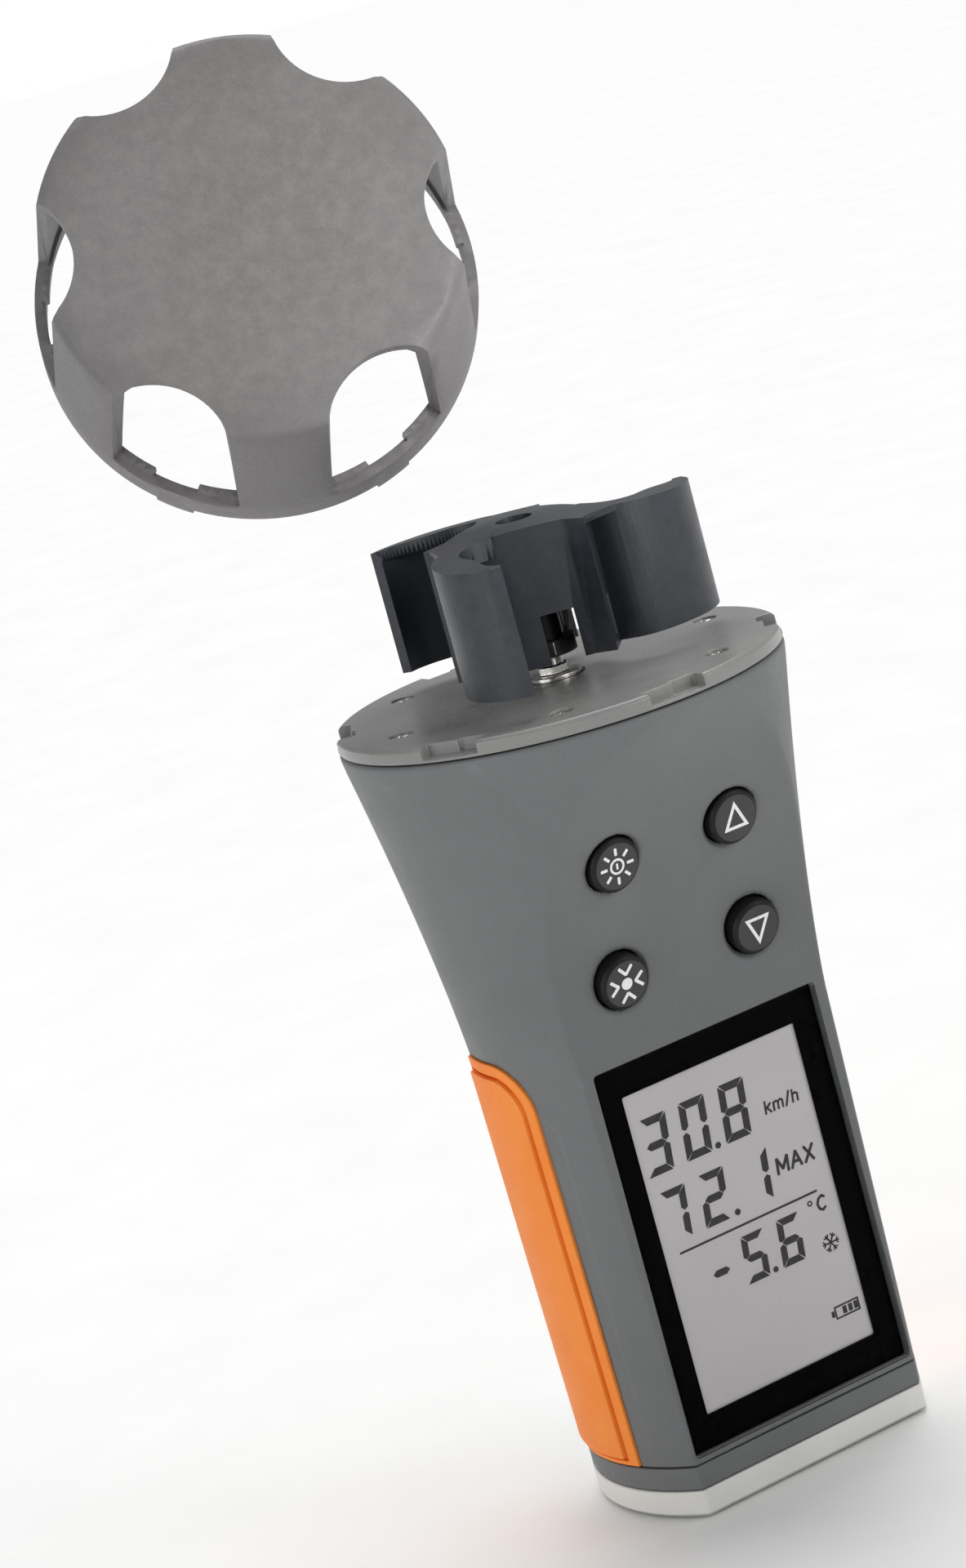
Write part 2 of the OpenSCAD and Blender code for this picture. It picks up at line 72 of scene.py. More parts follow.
class Mat:
    """A node material built from a Principled shader and object-space noise."""

    def __init__(self, name):
        self.m = bpy.data.materials.new(name)
        self.m.use_nodes = True
        self.t = self.m.node_tree
        self.b = self.t.nodes["Principled BSDF"]
        self.co = self.t.nodes.new("ShaderNodeTexCoord").outputs["Object"]

    def node(self, kind, **kw):
        n = self.t.nodes.new(kind)
        for k, v in kw.items():
            setattr(n, k, v)
        return n

    def link(self, a, b):
        self.t.links.new(a, b)

    def noise(self, scale, detail=3.0, rough=0.55, distort=0.0, co=None):
        n = self.node("ShaderNodeTexNoise")
        n.inputs["Scale"].default_value = scale
        n.inputs["Detail"].default_value = detail
        n.inputs["Roughness"].default_value = rough
        n.inputs["Distortion"].default_value = distort
        self.link(co or self.co, n.inputs["Vector"])
        return n.outputs["Fac"]

    def voronoi(self, scale, feature="F1", co=None):
        n = self.node("ShaderNodeTexVoronoi", feature=feature)
        n.inputs["Scale"].default_value = scale
        self.link(co or self.co, n.inputs["Vector"])
        return n.outputs["Distance"]

    def span(self, value, a0, a1, b0, b1):
        n = self.node("ShaderNodeMapRange")
        for k, v in zip(("From Min", "From Max", "To Min", "To Max"), (a0, a1, b0, b1)):
            n.inputs[k].default_value = v
        self.link(value, n.inputs["Value"])
        return n.outputs["Result"]

    def mix(self, fac, a, b, mode="MIX"):
        n = self.node("ShaderNodeMix", data_type="RGBA", blend_type=mode)
        for key, v in (("A", a), ("B", b)):
            s = [i for i in n.inputs if i.name == key and i.type == "RGBA"][0]
            if isinstance(v, tuple):
                s.default_value = v
            else:
                self.link(v, s)
        f = [i for i in n.inputs if i.name == "Factor" and i.type == "VALUE"][0]
        if isinstance(fac, float):
            f.default_value = fac
        else:
            self.link(fac, f)
        return [o for o in n.outputs if o.type == "RGBA"][0]

    def add(self, a, b, wa=1.0, wb=1.0):
        n1 = self.node("ShaderNodeMath", operation="MULTIPLY")
        self.link(a, n1.inputs[0])
        n1.inputs[1].default_value = wa
        n2 = self.node("ShaderNodeMath", operation="MULTIPLY_ADD")
        self.link(b, n2.inputs[0])
        n2.inputs[1].default_value = wb
        self.link(n1.outputs[0], n2.inputs[2])
        return n2.outputs[0]

    def edge(self, lo=0.53, hi=0.6):
        """Bright on convex edges, where the finish is rubbed."""
        g = self.node("ShaderNodeNewGeometry")
        return self.span(g.outputs["Pointiness"], lo, hi, 0.0, 1.0)

    def bump(self, height, strength, distance):
        n = self.node("ShaderNodeBump")
        n.inputs["Strength"].default_value = strength
        n.inputs["Distance"].default_value = distance
        self.link(height, n.inputs["Height"])
        self.link(n.outputs["Normal"], self.b.inputs["Normal"])

    def colour(self, out):
        self.link(out, self.b.inputs["Base Color"])

    def rough(self, out):
        self.link(out, self.b.inputs["Roughness"])

    def set(self, **kw):
        for k, v in kw.items():
            self.b.inputs[k.replace("_", " ")].default_value = v
        return self


def moulded(name, base, dark, light, rough=(0.42, 0.58), grain=3200.0, depth=0.00004, cell=True, wear=0.35, spec=0.45):
    """Fine spark-eroded moulded plastic: mottled colour, tiny pits, rubbed edges."""
    m = Mat(name)
    big = m.noise(55, 4, 0.6)
    fine = m.noise(grain, 2, 0.6)
    c = m.mix(m.span(big, 0.35, 0.68, 0.0, 1.0), dark, base)
    c = m.mix(m.span(fine, 0.52, 0.78, 0.0, 0.4), c, light)
    e = m.edge()
    wn = m.noise(380, 4, 0.7)
    w = m.node("ShaderNodeMath", operation="MULTIPLY")
    m.link(e, w.inputs[0])
    m.link(m.span(wn, 0.35, 0.7, 0.2 * wear, wear), w.inputs[1])
    c = m.mix(w.outputs[0], c, light)
    m.colour(c)
    m.rough(m.span(m.add(m.noise(120, 4, 0.65), fine, 0.6, 0.4), 0.35, 0.65, rough[1], rough[0]))
    if cell:
        v = m.voronoi(grain * 0.42)
        m.bump(m.add(v, fine, 0.7, 0.5), 0.5, depth)
    else:
        m.bump(fine, 0.4, depth)
    m.set(Specular_IOR_Level=spec)
    return m.m


MATS = {}
MATS["case_plastic"] = moulded("case_plastic", lin(109, 111, 112), lin(104, 106, 107), lin(128, 129, 130), (0.44, 0.58), 3600, 0.00003)
MATS["deck_plastic"] = moulded("deck_plastic", lin(136, 136, 134), lin(128, 128, 127), lin(156, 156, 154), (0.22, 0.34), 3000, 0.00003)
MATS["rotor_plastic"] = moulded("rotor_plastic", lin(38, 42, 48), lin(31, 34, 40), lin(62, 66, 73), (0.32, 0.46), 4200, 0.00002, wear=0.5)
MATS["black_plastic"] = moulded("black_plastic", lin(17, 17, 18), lin(12, 12, 13), lin(40, 40, 40), (0.4, 0.56), 4200, 0.00002, wear=0.2, spec=0.3)
# key_top: the button face's grey is partly its textured finish and partly painted light, a lit copy of the black button
# plastic whose sides stand for shade
MATS["key_top"] = moulded("key_top", lin(66, 65, 65), lin(57, 57, 57), lin(84, 83, 82), (0.46, 0.6), 4600, 0.00003, wear=0.4, spec=0.35)
MATS["white_plastic"] = moulded("white_plastic", lin(236, 235, 231), lin(227, 226, 221), lin(246, 245, 243), (0.3, 0.44), 3000, 0.00002, wear=0.3)
MATS["gasket_rubber"] = moulded("gasket_rubber", lin(24, 24, 25), lin(16, 16, 17), lin(46, 46, 46), (0.6, 0.8), 2600, 0.00003)


def cap_leather():
    """Cap plastic with a fine leather grain."""
    m = Mat("cap_plastic")
    v = m.voronoi(2300)
    v2 = m.voronoi(4300)
    fine = m.noise(6200, 2, 0.6)
    big = m.noise(42, 4, 0.6)
    c = m.mix(m.span(big, 0.36, 0.66, 0.0, 1.0), lin(103, 100, 100), lin(109, 107, 107))
    c = m.mix(m.span(m.add(v, fine, 0.8, 0.5), 0.45, 0.95, 0.0, 0.25), c, lin(126, 124, 124))
    e = m.edge()
    wn = m.noise(420, 4, 0.7)
    w = m.node("ShaderNodeMath", operation="MULTIPLY")
    m.link(e, w.inputs[0])
    m.link(m.span(wn, 0.35, 0.7, 0.05, 0.22), w.inputs[1])
    c = m.mix(w.outputs[0], c, lin(168, 166, 162))
    m.colour(c)
    m.rough(m.span(m.add(v, big, 0.6, 0.6), 0.3, 0.9, 0.6, 0.48))
    m.bump(m.add(m.add(v, v2, 0.7, 0.35), fine, 0.8, 0.25), 0.35, 0.00003)
    m.set(Specular_IOR_Level=0.4)
    return m.m


MATS["cap_plastic"] = cap_leather()


def orange():
    """Soft-touch rubber: satin, fine pitted, with painted shade darkening it in the folds."""
    m = Mat("orange_rubber")
    big = m.noise(70, 4, 0.6)
    fine = m.noise(3400, 2, 0.6)
    c = m.mix(m.span(big, 0.35, 0.68, 0.0, 1.0), lin(250, 136, 44), lin(255, 148, 58))
    c = m.mix(m.span(fine, 0.5, 0.8, 0.0, 0.35), c, lin(255, 168, 88))
    g = m.node("ShaderNodeNewGeometry")
    # painted shade: concave folds (low pointiness) are mixed toward a darker orange
    c = m.mix(m.span(g.outputs["Pointiness"], 0.42, 0.5, 0.8, 0.0), c, lin(206, 84, 14))
    c = m.mix(m.span(g.outputs["Pointiness"], 0.53, 0.62, 0.0, 0.35), c, lin(255, 172, 104))
    m.colour(c)
    m.rough(m.span(m.add(big, fine, 0.5, 0.5), 0.35, 0.65, 0.6, 0.44))
    m.bump(m.add(m.voronoi(1700), fine, 0.7, 0.5), 0.5, 0.00004)
    m.set(Specular_IOR_Level=0.25)
    return m.m


MATS["orange_rubber"] = orange()


def metal(name, base, dark, rough=(0.18, 0.36), scale=900.0):
    m = Mat(name)
    mp = m.node("ShaderNodeMapping")
    mp.inputs["Scale"].default_value = (1, 1, 0.12)
    m.link(m.co, mp.inputs["Vector"])
    brushed = m.noise(scale * 4, 3, 0.6, co=mp.outputs["Vector"])
    big = m.noise(scale * 0.4, 4, 0.6)
    m.colour(m.mix(m.span(m.add(brushed, big, 0.5, 0.5), 0.38, 0.62, 0.0, 1.0), dark, base))
    m.rough(m.span(m.add(brushed, big, 0.6, 0.4), 0.35, 0.65, rough[1], rough[0]))
    m.bump(brushed, 0.25, 0.00002)
    m.set(Metallic=1.0)
    return m.m


MATS["screw_steel"] = metal("screw_steel", lin(214, 212, 208), lin(158, 156, 152))
MATS["axle_steel"] = metal("axle_steel", lin(205, 205, 206), lin(150, 150, 152), (0.12, 0.26))
MATS["brass_part"] = metal("brass_part", lin(214, 178, 98), lin(160, 124, 58))
MATS["copper_coil"] = metal("copper_coil", lin(200, 112, 62), lin(120, 58, 28), (0.25, 0.5), 1500)


def board(name, base, dark, light):
    m = Mat(name)
    v = m.voronoi(420, "DISTANCE_TO_EDGE")
    big = m.noise(160, 3, 0.6)
    c = m.mix(m.span(big, 0.35, 0.68, 0.0, 1.0), dark, base)
    c = m.mix(m.span(v, 0.02, 0.06, 0.5, 0.0), c, light)
    m.colour(c)
    m.rough(m.span(big, 0.3, 0.7, 0.42, 0.25))
    m.bump(v, 0.3, 0.00003)
    m.set(Specular_IOR_Level=0.5)
    return m.m


MATS["board_green"] = board("board_green", lin(20, 92, 52), lin(12, 66, 36), lin(52, 128, 70))
MATS["amber_film"] = board("amber_film", lin(198, 126, 34), lin(168, 98, 20), lin(226, 160, 66))


def frame_black():
    """Ink printed behind the window: deep black with a trace of dust."""
    m = Mat("frame_black")
    n = m.noise(2400, 3, 0.7)
    big = m.noise(90, 3, 0.6)
    m.colour(m.mix(m.span(n, 0.62, 0.8, 0.0, 0.3), lin(2, 2, 2), lin(6, 6, 7)))
    m.rough(m.span(big, 0.3, 0.7, 0.34, 0.24))
    m.bump(n, 0.15, 0.00001)
    m.set(Specular_IOR_Level=0.02)
    return m.m


MATS["frame_black"] = frame_black()


def lcd_glass():
    """Reflective grey background of the display, with its faint fleck."""
    m = Mat("lcd_glass")
    n = m.noise(2600, 2, 0.7)
    big = m.noise(38, 3, 0.5)
    c = m.mix(m.span(big, 0.35, 0.68, 0.0, 1.0), lin(196, 192, 193), lin(202, 198, 199))
    c = m.mix(m.span(n, 0.45, 0.75, 0.0, 0.35), c, lin(212, 208, 209))
    m.colour(c)
    m.rough(m.span(n, 0.3, 0.7, 0.52, 0.4))
    m.bump(n, 0.2, 0.00001)
    m.set(Specular_IOR_Level=0.4)
    return m.m


MATS["lcd_glass"] = lcd_glass()


def ink(name, a, b, rough=0.5):
    m = Mat(name)
    n = m.noise(2600, 3, 0.6)
    m.colour(m.mix(m.span(n, 0.4, 0.7, 0.0, 1.0), a, b))
    m.rough(m.span(n, 0.3, 0.7, rough + 0.08, rough - 0.06))
    m.bump(n, 0.2, 0.00001)
    return m.m


MATS["lcd_ink"] = ink("lcd_ink", lin(34, 31, 32), lin(44, 40, 41))
MATS["icon_white"] = ink("icon_white", lin(238, 238, 236), lin(250, 250, 249), 0.42)


def window():
    """Clear hard-coated window with a faint haze of wipe marks."""
    m = Mat("clear_window")
    n = m.noise(240, 4, 0.7, 0.6)
    m.set(Base_Color=(1, 1, 1, 1), IOR=1.49, Specular_IOR_Level=0.5)
    m.rough(m.span(n, 0.4, 0.75, 0.03, 0.09))
    tr = m.node("ShaderNodeBsdfTransparent")
    mx = m.node("ShaderNodeMixShader")
    fr = m.node("ShaderNodeFresnel")
    fr.inputs["IOR"].default_value = 1.06
    m.link(fr.outputs[0], mx.inputs[0])
    m.link(tr.outputs[0], mx.inputs[1])
    m.link(m.b.outputs[0], mx.inputs[2])
    out = [x for x in m.t.nodes if x.type == "OUTPUT_MATERIAL"][0]
    m.link(mx.outputs[0], out.inputs["Surface"])
    return m.m


MATS["clear_window"] = window()

for n, o in nodes.items():
    for s in o.material_slots:
        s.material = MATS[s.material.name[4:]]
for m in [m for m in bpy.data.materials if m.name.startswith("row_")]:
    bpy.data.materials.remove(m)


# ---------------------------------------------------------------- mesh tools
def make(name, bm, mat, body, angle=38, weighted=True):
    me = bpy.data.meshes.new(name)
    bm.normal_update()
    bm.to_mesh(me)
    bm.free()
    me.materials.clear()
    me.materials.append(MATS[mat])
    me.shade_smooth()
    me.set_sharp_from_angle(angle=math.radians(angle))
    o = bpy.data.objects.new(name, me)
    scene.collection.objects.link(o)
    if weighted:
        w = o.modifiers.new("even_normals", "WEIGHTED_NORMAL")
        w.keep_sharp = True
        w.weight = 60
    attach(o, body)
    return o


def welded(node):
    """The node's own mesh as a bmesh with its face-boundary vertices joined."""
    bm = bmesh.new()
    bm.from_mesh(nodes[node].data)
    bmesh.ops.remove_doubles(bm, verts=bm.verts, dist=2e-6)
    bmesh.ops.dissolve_degenerate(bm, edges=bm.edges, dist=1e-6)
    return bm


def rounded(node, width, angle=35, segs=2, shade=38, flat=0.3):
    """A copy of the node with its sharp edges rounded, shown in its place."""
    bm = welded(node)
    if flat:
        bmesh.ops.dissolve_limit(bm, angle_limit=math.radians(flat), verts=bm.verts, edges=bm.edges)
    if width:
        es = [e for e in bm.edges if len(e.link_faces) == 2 and e.calc_face_angle(0) > math.radians(angle)]
        bmesh.ops.bevel(
            bm,
            geom=es,
            offset=width * MM,
            offset_type="OFFSET",
            segments=segs,
            profile=0.5,
            affect="EDGES",
            clamp_overlap=False,
            miter_outer="SHARP",
        )
    bmesh.ops.remove_doubles(bm, verts=bm.verts, dist=2e-6)
    o = nodes[node]
    mat = o.material_slots[0].material.name
    new = make(node + "_skin", bm, mat, o["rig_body"], shade)
    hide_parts(node)
    return new


# ---------------------------------------------------------------- case
deck_h, waist_r, waist_z, front_y, rim_r = 128.0, 27.9, 70.0, 16.4, 35.0
case_z0, case_z1 = 8.5, 125.35
flare_k = (rim_r - waist_r - 0.019 * (124 - waist_z)) / (124 - waist_z) ** 1.472


def body_r(z):
    return min(rim_r, waist_r + 0.019 * (z - waist_z) + (flare_k * (z - waist_z) ** 1.472 if z > waist_z else 0))


def pad_y(z):
    return front_y + (0.00226 * (z - 72) ** 2.28 if z > 72 else 0)


T = math.radians(14)
KEY_O = Vector((0, -19.35, 93.9))
KEY_X = Vector((1, 0, 0))
KEY_Y = Vector((0, -math.sin(T), math.cos(T)))
KEY_N = Vector((0, -math.cos(T), -math.sin(T)))
KEYS = {"power": (-11.2, 9.7), "up": (10.5, 9.7), "down": (12.2, -9.5), "mode": (-12.2, -9.5)}
HOLE_R = 4.7


def edge_round(z):
    """How far the fillet between the pad and the flare reaches, in mm."""
    a, p = body_r(z), pad_y(z)
    if p >= a:
        return 0.03
    h = 0.5
    sb, sp = (body_r(z + h) - body_r(z - h)) / (2 * h), (pad_y(z + h) - pad_y(z - h)) / (2 * h)
    th = math.asin(p / a)
    n1 = Vector((math.cos(th), -math.sin(th), -sb)).normalized()
    n2 = Vector((0, -1, -sp)).normalized()
    phi = math.acos(max(-1, min(1, n1.dot(n2))))
    r = 1.1 + 1.3 * max(0, min(1, (z - 70) / 40))
    return max(0.03, r * math.tan(phi / 2) * math.sin(phi))


def case_radius(t, z, k):
    a = body_r(z)
    s = -math.sin(t)
    if s > 0.05:
        b = pad_y(z) / s
        h = max(k - abs(a - b), 0) / k
        r = min(a, b) - h * h * k * 0.25
    else:
        r = a
    r -= 0.04
    x, y = r * math.cos(t), r * math.sin(t)
    if 78 < z < 111 and y < -14:
        q = Vector((x, y, z)) - KEY_O
        lx, ly = q.x, q.dot(KEY_Y)
        for kx, ky in KEYS.values():
            d = math.hypot(lx - kx, ly - ky) - HOLE_R
            if d < 0.85:
                e = min(1.0, (0.85 - d) / 0.85)
                r -= 0.6 * (1 - math.sqrt(max(0.0, 1 - e * e)))
    for edge, reach in ((case_z0, 0.45), (case_z1, 0.7)):
        d = abs(z - edge)
        if d < reach:
            e = (reach - d) / reach
            r -= 0.75 * reach * (1 - math.sqrt(max(0.0, 1 - e * e)))
    return r


def steps(a, b, d):
    n = max(1, round((b - a) / d))
    return [a + (b - a) * i / n for i in range(n)]


def case_skin():
    zs = (
        [8.5, 8.53, 8.62, 8.74, 8.95]
        + steps(9.4, 70, 2.2)
        + steps(70, 79, 0.6)
        + steps(79, 109, 0.4)
        + steps(109, 124.6, 0.5)
        + [124.65, 124.75, 124.9, 125.05, 125.2, 125.29, 125.35]
    )
    ts = [math.radians(a) for a in steps(-168, -12, 0.55) + steps(-12, 192, 3.0)]
    bm = bmesh.new()
    rings = []
    for z in zs:
        k = edge_round(z)
        ring = []
        for t in ts:
            r = case_radius(t, z, k)
            ring.append(bm.verts.new((r * math.cos(t) * MM, r * math.sin(t) * MM, z * MM)))
        rings.append(ring)
    n = len(ts)
    for lo, hi in zip(rings, rings[1:]):
        for i in range(n):
            j = (i + 1) % n
            bm.faces.new((lo[i], lo[j], hi[j], hi[i]))
    bm.faces.new(list(reversed(rings[0])))
    bm.faces.new(rings[-1])
    bmesh.ops.recalc_face_normals(bm, faces=bm.faces)
    outer = bpy.data.meshes.new("case_outer")
    bm.to_mesh(outer)
    bm.free()
    oo = bpy.data.objects.new("case_outer", outer)
    scene.collection.objects.link(oo)
    o = bpy.data.objects.new("main_case_skin", bpy.data.meshes.new("main_case_skin"))
    bm = welded("main_case")
    bm.to_mesh(o.data)
    bm.free()
    scene.collection.objects.link(o)
    md = o.modifiers.new("outside", "BOOLEAN")
    md.operation = "INTERSECT"
    md.object = oo
    md.solver = "MANIFOLD"
    dg = bpy.context.evaluated_depsgraph_get()
    me = bpy.data.meshes.new_from_object(o.evaluated_get(dg))
    bpy.data.objects.remove(o)
    bpy.data.objects.remove(oo)
    bm = bmesh.new()
    bm.from_mesh(me)
    bpy.data.meshes.remove(me)
    bmesh.ops.dissolve_degenerate(bm, edges=bm.edges, dist=2e-6)
    bmesh.ops.dissolve_limit(bm, angle_limit=math.radians(0.12), verts=bm.verts, edges=bm.edges)
    new = make("main_case_skin", bm, "case_plastic", "housing", 36)
    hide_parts("main_case")
    return new


case_skin()

# ---------------------------------------------------------------- rounded parts
rounded("head_plate", 0.22, 35, 2)
rounded("bottom_collar", 0.25, 30, 2)
rounded("base_cap", 0.35, 30, 3)
rounded("side_grip_left", 0.15, 30, 2)
rounded("side_grip_right", 0.15, 30, 2)
rounded("display_lens", 0.15, 35, 2)
rounded("rotor", 0, flat=0, shade=30)
rounded("protective_cap", 0, flat=0, shade=30)
for k in KEYS:
    rounded("button_" + k, 0.22, 30, 3)
rounded("head_screws", 0.06, 35, 2)
rounded("spindle_nut", 0.12, 35, 2)


# ---------------------------------------------------------------- flat marks
def prism(bm, pts, place, h0, h1):
    """Closed prism over the outline pts, between the heights h0 and h1 of the frame place(x, y, h)."""
    lo = [bm.verts.new(place(x, y, h0)) for x, y in pts]
    hi = [bm.verts.new(place(x, y, h1)) for x, y in pts]
    n = len(pts)
    faces = [bm.faces.new(list(reversed(lo))), bm.faces.new(hi)]
    for i in range(n):
        j = (i + 1) % n
        faces.append(bm.faces.new((lo[i], lo[j], hi[j], hi[i])))
    return faces


def bar(a, b, w):
    """Outline of a straight stroke with slightly rounded ends."""
    ax, ay = a
    bx, by = b
    d = math.hypot(bx - ax, by - ay)
    ux, uy = (bx - ax) / d, (by - ay) / d
    nx, ny = -uy, ux
    pts = []
    for s, (cx, cy) in ((1, b), (-1, a)):
        for k in range(7):
            t = math.radians(-90 + 30 * k) * 1.0
            o, p = math.cos(t) * 0.45, math.sin(t)
            pts.append((cx + s * (ux * o * w / 2 + nx * p * w / 2), cy + s * (uy * o * w / 2 + ny * p * w / 2)))
    return pts


def ring(bm, c, r0, r1, place, h0, h1, n=40, sx=1.0):
    vs = []
    for i in range(n):
        a = 2 * math.pi * i / n
        ca, sa = math.cos(a) * sx, math.sin(a)
        vs.append(
            [
                bm.verts.new(place(c[0] + r * ca, c[1] + r * sa, h))
                for r, h in ((r0, h0), (r1, h0), (r1, h1), (r0, h1))
            ]
        )
    for i in range(n):
        j = (i + 1) % n
        for k in range(4):
            m = (k + 1) % 4
            bm.faces.new((vs[i][k], vs[j][k], vs[j][m], vs[i][m]))


def disc(c, r, n=32):
    return [(c[0] + r * math.cos(2 * math.pi * i / n), c[1] + r * math.sin(2 * math.pi * i / n)) for i in range(n)]


def outline(bm, pts, w, place, h0, h1):
    """A closed band of width w inside the convex outline pts, with mitred corners."""
    n = len(pts)
    inner = []
    for i in range(n):
        p0, p1, p2 = (Vector(pts[k % n]) for k in (i - 1, i, i + 1))
        d1, d2 = (p1 - p0).normalized(), (p2 - p1).normalized()
        n1, n2 = Vector((-d1.y, d1.x)), Vector((-d2.y, d2.x))
        m = (n1 + n2).normalized()
        inner.append(p1 + m * (w / max(0.2, m.dot(n1))))
    vs = []
    for o, i in zip(pts, inner):
        vs.append([bm.verts.new(place(x, y, h)) for (x, y), h in (((i.x, i.y), h0), ((o[0], o[1]), h0), ((o[0], o[1]), h1), ((i.x, i.y), h1))])
    for i in range(n):
        j = (i + 1) % n
        for k in range(4):
            m = (k + 1) % 4
            bm.faces.new((vs[i][k], vs[j][k], vs[j][m], vs[i][m]))


def marks(name, mat, body, draw):
    bm = bmesh.new()
    draw(bm)
    bmesh.ops.recalc_face_normals(bm, faces=bm.faces)
    return make(name, bm, mat, body, 30, False)


def key_place(kx, ky):
    def place(x, y, h):
        return (KEY_O + KEY_X * (kx + x) + KEY_Y * (ky + y) + KEY_N * h) * MM

    return place


H0, H1 = 1.72, 1.82


def icon_power(bm):
    p = key_place(*KEYS["power"])
    ring(bm, (0, 0), 0.92, 1.28, p, H0, H1)
    prism(bm, bar((0, -0.42), (0, 0.42), 0.34), p, H0, H1)
    for i in range(8):
        a = math.radians(45 * i)
        prism(bm, bar((1.85 * math.cos(a), 1.85 * math.sin(a)), (2.85 * math.cos(a), 2.85 * math.sin(a)), 0.46), p, H0, H1)


def icon_up(bm):
    outline(bm, [(-2.25, -1.75), (2.25, -1.75), (0, 2.75)], 0.5, key_place(*KEYS["up"]), H0, H1)


def icon_down(bm):
    outline(bm, [(-2.25, 1.9), (0, -2.75), (2.25, 1.9)], 0.5, key_place(*KEYS["down"]), H0, H1)


def icon_mode(bm):
    p = key_place(*KEYS["mode"])
    prism(bm, disc((0, 0), 0.95), p, H0, H1)
    for i in range(4):
        a = math.radians(90 * i)
        c, s = math.cos(a), math.sin(a)

        def turn(x, y):
            return (x * c - y * s, x * s + y * c)

        # a chevron whose point looks at the dot
        tip, arm = 1.55, (2.8, 1.12)
        prism(bm, bar(turn(tip, 0), turn(*arm), 0.5), p, H0, H1)
        prism(bm, bar(turn(tip, 0), turn(arm[0], -arm[1]), 0.5), p, H0 + 0.004, H1 + 0.004)


def key_faces_painted_lighter():
    """The greyer textured face of each button, a thin disc with a rolled rim; its grey is partly the textured finish
    and partly painted light, the lit face set against the button's black sides, which stand for shade.
    """
    for name, (kx, ky) in KEYS.items():
        bm = bmesh.new()
        p = key_place(kx, ky)
        prof = [(0.0, 1.64), (3.6, 1.64), (3.66, 1.68), (3.66, 1.715), (3.6, 1.74), (3.5, 1.75), (0.0, 1.75)]
        rows = []
        for i in range(56):
            t = 2 * math.pi * i / 56
            rows.append([bm.verts.new(p(q * math.cos(t), q * math.sin(t), h)) for q, h in prof[1:-1]])
        lo, hi = bm.verts.new(p(0, 0, prof[0][1])), bm.verts.new(p(0, 0, prof[-1][1]))
        for i in range(56):
            u0, u1 = rows[i], rows[(i + 1) % 56]
            bm.faces.new((lo, u0[0], u1[0]))
            bm.faces.new((hi, u1[-1], u0[-1]))
            for k in range(len(u0) - 1):
                bm.faces.new((u0[k], u0[k + 1], u1[k + 1], u1[k]))
        bmesh.ops.recalc_face_normals(bm, faces=bm.faces)
        make("key_top_" + name, bm, "key_top", "key_" + name, 40)


key_faces_painted_lighter()
marks("icon_power", "icon_white", "key_power", icon_power)
marks("icon_up", "icon_white", "key_up", icon_up)
marks("icon_down", "icon_white", "key_down", icon_down)
marks("icon_mode", "icon_white", "key_mode", icon_mode)

# ---------------------------------------------------------------- display
LCD_Y = -14.65
SEG = {
    "0": "abcdef", "1": "bc", "2": "abged", "3": "abgcd", "5": "afgcd", "6": "afgedc", "7": "abc", "8": "abcdefg", "-": "g",
}


def lcd_place(x, z, h):
    return Vector((x, LCD_Y - h, z)) * MM


def seg_digit(bm, ch, x, z, w, hgt, t, slant=0.1):
    """One seven-segment digit, lower left corner at x, z."""
    g = 0.16

    def sk(px, pz):
        return (x + px + slant * pz, z + pz)

    hh = hgt / 2
    seg = {
        "a": [(g, hgt), (w - g, hgt), (w - g - t * 0.9, hgt - t), (g + t * 0.9, hgt - t)],
        "d": [(g, 0), (g + t * 0.9, t), (w - g - t * 0.9, t), (w - g, 0)],
        "g": [(g + t * 0.35, hh), (g + t * 0.9, hh + t / 2), (w - g - t * 0.9, hh + t / 2), (w - g - t * 0.35, hh), (w - g - t * 0.9, hh - t / 2), (g + t * 0.9, hh - t / 2)],
        "f": [(0, hgt - g), (t, hgt - g - t * 0.9), (t, hh + g + t * 0.45), (t * 0.5, hh + g), (0, hh + g + t * 0.3)],
        "b": [(w, hgt - g), (w, hh + g + t * 0.3), (w - t * 0.5, hh + g), (w - t, hh + g + t * 0.45), (w - t, hgt - g - t * 0.9)],
        "e": [(0, g), (0, hh - g - t * 0.3), (t * 0.5, hh - g), (t, hh - g - t * 0.45), (t, g + t * 0.9)],
        "c": [(w, g), (w - t, g + t * 0.9), (w - t, hh - g - t * 0.45), (w - t * 0.5, hh - g), (w, hh - g - t * 0.3)],
    }
    for s in SEG[ch]:
        prism(bm, [sk(*p) for p in seg[s]], lcd_place, 0.0, 0.06)


